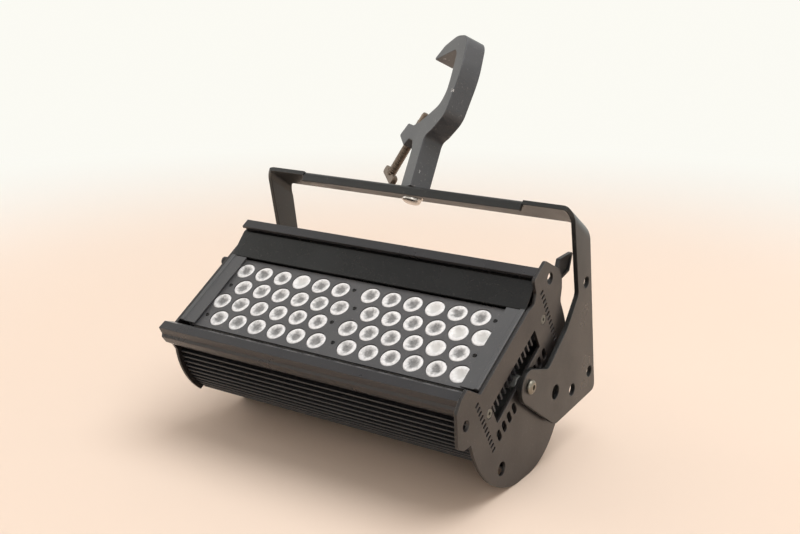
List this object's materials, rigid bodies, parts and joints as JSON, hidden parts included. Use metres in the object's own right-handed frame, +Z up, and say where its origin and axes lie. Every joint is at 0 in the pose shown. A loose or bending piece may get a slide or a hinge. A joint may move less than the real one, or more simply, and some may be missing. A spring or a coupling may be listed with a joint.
{
  "type": "LED batten light",
  "caption": "Stage light with two lens modules in a finned batten body, a tilting yoke and a swivelling hook clamp to hang it from a pipe.",
  "frame": {"origin": "centre of the footprint's bounding box, on the floor the light stands on", "axes": "+X along the batten to the end plate with ears, +Y to the rear wall with the sockets, +Z up"},
  "size_m": [0.3634, 0.305, 0.3775],
  "materials": {
    "black_aluminium": "satin",
    "brown_paint": "satin",
    "mask_black": "matte",
    "cheek_grey": "satin",
    "lens_clear": "gloss",
    "bare_steel": "satin",
    "dark_steel": "satin",
    "clamp_grey": "satin",
    "black_plastic": "satin",
    "board_white": "matte",
    "board_green": "satin",
    "zinc_plate": "satin",
    "dark_glass": "polished",
    "button_grey": "matte"
  },
  "bodies": {
    "fixture": {"heatsink_body": "black_aluminium", "top_rail": "black_aluminium", "bottom_rail": "black_aluminium", "glare_panel": "black_aluminium", "left_end_plate": "brown_paint", "right_end_plate": "brown_paint", "lens_mask": "mask_black", "chassis_plate": "zinc_plate", "power_supply": "zinc_plate", "driver_board": "board_green", "latch_pin": "dark_steel", "rear_cover": "brown_paint", "left_end_cap": "brown_paint", "control_panel": "black_plastic", "display_window": "dark_glass", "control_board": "board_green", "power_inlet": "black_plastic", "power_outlet": "black_plastic", "data_in": "black_plastic", "data_out": "black_plastic", "left_lens_block": "lens_clear", "left_led_board": "board_white", "left_cheek_panel": "cheek_grey", "left_upper_plate_screw": "bare_steel", "left_lower_plate_screw": "bare_steel", "left_pivot_bolt": "bare_steel", "left_pivot_washer": "black_plastic", "left_pivot_nut": "zinc_plate", "right_lens_block": "lens_clear", "right_led_board": "board_white", "right_cheek_panel": "cheek_grey", "right_upper_plate_screw": "bare_steel", "right_lower_plate_screw": "bare_steel", "right_pivot_bolt": "bare_steel", "right_pivot_washer": "black_plastic", "right_pivot_nut": "zinc_plate"},
    "yoke": {"yoke_bracket": "brown_paint", "clamp_bolt": "bare_steel", "clamp_washer": "bare_steel"},
    "clamp": {"hook_clamp": "clamp_grey"},
    "clamp_screw": {"clamp_screw": "dark_steel"},
    "latch": {"accessory_latch": "black_plastic"},
    "thumb_screw": {"thumb_screw": "black_plastic"},
    "menu_button_1": {"menu_button_1": "button_grey"},
    "menu_button_2": {"menu_button_2": "button_grey"},
    "menu_button_3": {"menu_button_3": "button_grey"},
    "menu_button_4": {"menu_button_4": "button_grey"}
  },
  "joints": [
    {"name": "yoke_tilt", "type": "hinge", "parent": "fixture", "child": "yoke", "pos_m": [0, -0.03972, 0.09261], "axis": [1, 0, 0], "range_deg": [-205, 55]},
    {"name": "clamp_swivel", "type": "hinge", "parent": "yoke", "child": "clamp", "pos_m": [0, 0.05028, 0.2303], "axis": [0, 0.5441, 0.8391], "continuous": true},
    {"name": "clamp_screw_travel", "type": "slide", "parent": "clamp", "child": "clamp_screw", "axis": [0.4632, 0.1964, 0.8642], "range_m": [-0.012, 0.026]},
    {"name": "latch_swing", "type": "hinge", "parent": "fixture", "child": "latch", "pos_m": [0.164, 0.02236, 0.16771], "axis": [1, 0, 0], "range_deg": [-45, 60]},
    {"name": "thumb_screw_turn", "type": "hinge", "parent": "fixture", "child": "thumb_screw", "pos_m": [-0.17, -0.0341, 0.1507], "axis": [-1, 0, 0], "continuous": true},
    {"name": "menu_button_1_press", "type": "slide", "parent": "fixture", "child": "menu_button_1", "axis": [0, -1, 0], "range_m": [0, 0.001], "stiffness_N_per_m": 400, "springref_m": -0.0005},
    {"name": "menu_button_2_press", "type": "slide", "parent": "fixture", "child": "menu_button_2", "axis": [0, -1, 0], "range_m": [0, 0.001], "stiffness_N_per_m": 400, "springref_m": -0.0005},
    {"name": "menu_button_3_press", "type": "slide", "parent": "fixture", "child": "menu_button_3", "axis": [0, -1, 0], "range_m": [0, 0.001], "stiffness_N_per_m": 400, "springref_m": -0.0005},
    {"name": "menu_button_4_press", "type": "slide", "parent": "fixture", "child": "menu_button_4", "axis": [0, -1, 0], "range_m": [0, 0.001], "stiffness_N_per_m": 400, "springref_m": -0.0005}
  ]
}
